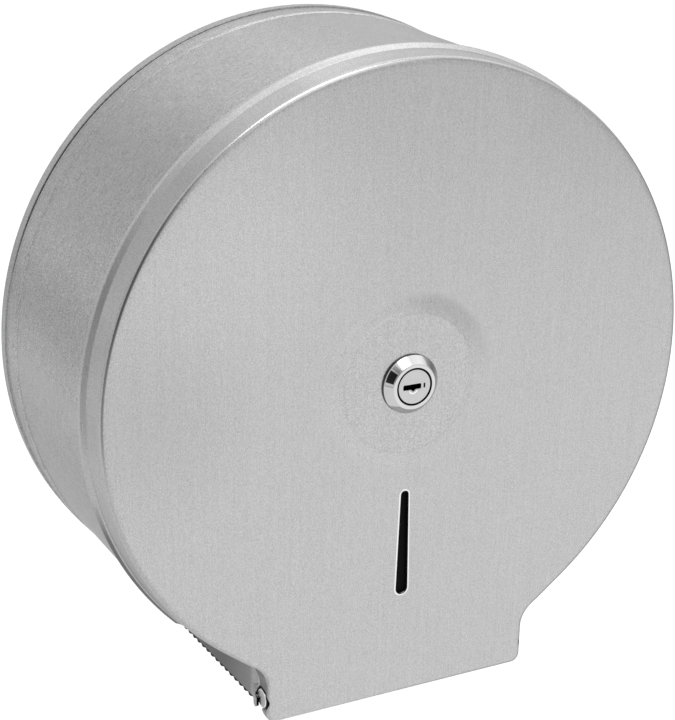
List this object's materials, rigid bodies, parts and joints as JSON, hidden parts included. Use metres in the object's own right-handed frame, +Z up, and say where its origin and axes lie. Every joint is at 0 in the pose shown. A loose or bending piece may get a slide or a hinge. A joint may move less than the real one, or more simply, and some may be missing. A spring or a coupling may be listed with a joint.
{
  "type": "jumbo toilet roll dispenser",
  "caption": "Wall-mounted round brushed steel dispenser for a jumbo toilet roll, with a hinged locking front lid, a turning roll hub, a view slot and a serrated outlet below.",
  "frame": {"origin": "centre of the wall screw pattern, on the drum's axis, in the plane of the wall", "axes": "+Z up, +Y into the wall, the lid faces -Y, +X to the right of someone facing it"},
  "size_m": [0.27, 0.1159, 0.277],
  "materials": {
    "lid_steel": "fine upright brushed grain",
    "drum_steel": "fine brushed grain round the drum",
    "plate_steel": "brushed",
    "arm_steel": "satin, darker sheet",
    "rivet_steel": "bright",
    "zinc_steel": "zinc plated",
    "lock_chrome": "polished plating",
    "nylon": "natural nylon",
    "hub_plastic": "moulded, fine texture",
    "smoked_plastic": "smooth, dark smoked",
    "black_rubber": "matte"
  },
  "bodies": {
    "chassis": {"back_plate": "plate_steel", "collar_foot_ring": "plate_steel", "rear_collar": "plate_steel", "drum_wall": "drum_steel", "left_tear_arm": "arm_steel", "right_tear_arm": "arm_steel", "tear_arm_rivets": "rivet_steel", "spindle_foot": "zinc_steel", "spindle_tube": "zinc_steel", "spindle_rivets": "rivet_steel", "rear_hub_washer": "nylon", "front_hub_washer": "nylon", "lock_keeper": "zinc_steel", "left_hinge_rivet": "rivet_steel", "right_hinge_rivet": "rivet_steel", "left_hinge_washer": "nylon", "right_hinge_washer": "nylon"},
    "lid": {"front_lid": "lid_steel", "slot_window": "smoked_plastic", "lock_barrel": "lock_chrome", "lock_seal_ring": "black_rubber", "lock_washer": "zinc_steel", "lock_nut": "zinc_steel"},
    "lock": {"lock_plug": "lock_chrome", "lock_cam": "zinc_steel", "cam_screw": "zinc_steel"},
    "hub": {"roll_hub": "hub_plastic"}
  },
  "joints": [
    {"name": "cover_hinge", "type": "hinge", "parent": "chassis", "child": "lid", "pos_m": [0, -0.1052, -0.133], "axis": [1, 0, 0], "range_deg": [0, 90]},
    {"name": "lock_turn", "type": "hinge", "parent": "lid", "child": "lock", "pos_m": [0, -0.1, 0], "axis": [0, 1, 0], "range_deg": [0, 90]},
    {"name": "hub_spin", "type": "hinge", "parent": "chassis", "child": "hub", "pos_m": [0, -0.04825, 0], "axis": [0, 1, 0], "continuous": true}
  ]
}
